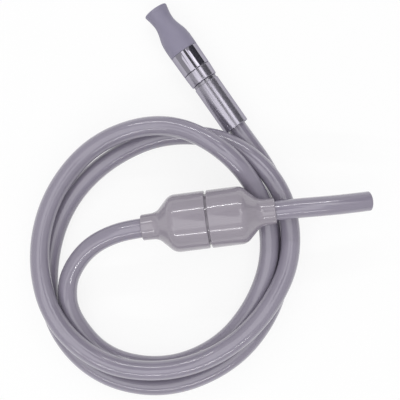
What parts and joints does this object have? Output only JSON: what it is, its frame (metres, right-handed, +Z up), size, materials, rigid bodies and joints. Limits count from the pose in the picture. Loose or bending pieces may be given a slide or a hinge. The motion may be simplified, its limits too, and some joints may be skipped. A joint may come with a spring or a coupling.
{
  "type": "saliva ejector hose set",
  "caption": "Valve handpiece for a push-in saliva ejector tip, on a grey suction hose laid in loose loops, with a two-part in-line strainer housing and a tail hose.",
  "frame": {"origin": "on the surface that the set lies on, under the middle of the box of the handpiece and the strainer housing", "axes": "+Z up from the surface, +Y towards the handpiece's mouth, +X towards the strainer's outlet"},
  "size_m": [0.166, 0.1954, 0.0395],
  "materials": {
    "hose_pvc": "smooth soft PVC with a wet-looking gloss",
    "housing_plastic": "glossy moulded plastic",
    "holder_rubber": "matt silicone rubber",
    "chrome": "polished and fine-turned chrome plate",
    "steel": "satin",
    "inner_plastic": "moulded",
    "seal_rubber": "matt"
  },
  "bodies": {
    "root": {"long_hose": "hose_pvc", "tail_hose": "hose_pvc", "swivel_stem": "steel", "filter_inlet_half": "housing_plastic", "inlet_barb": "inner_plastic", "strainer_cup": "inner_plastic"},
    "handpiece": {"valve_body": "chrome", "friction_washer": "steel", "rear_sleeve": "chrome", "end_bush": "inner_plastic", "swivel_oring": "seal_rubber"},
    "valve": {"control_ring": "chrome", "drive_pin": "steel", "valve_rotor": "inner_plastic", "rotor_oring_front": "seal_rubber", "rotor_oring_rear": "seal_rubber"},
    "holder": {"tip_holder": "holder_rubber"},
    "outlet": {"filter_outlet_half": "housing_plastic", "outlet_barb": "inner_plastic", "housing_oring": "seal_rubber"}
  },
  "joints": [
    {"name": "handpiece_swivel", "type": "hinge", "parent": "root", "child": "handpiece", "pos_m": [-0.0262, 0.0579, 0.00755], "axis": [0.5724, -0.82, 0], "continuous": true},
    {"name": "valve_turn", "type": "hinge", "parent": "handpiece", "child": "valve", "pos_m": [-0.0262, 0.0579, 0.00755], "axis": [0.5724, -0.82, 0], "range_deg": [0, 90]},
    {"name": "holder_pull", "type": "slide", "parent": "handpiece", "child": "holder", "axis": [-0.5724, 0.82, 0], "range_m": [0, 0.012]},
    {"name": "housing_unlock", "type": "hinge", "parent": "root", "child": "outlet", "pos_m": [0, -0.0455, 0.0245], "axis": [0.9895, 0.1268, 0.0698], "range_deg": [0, 30]}
  ]
}
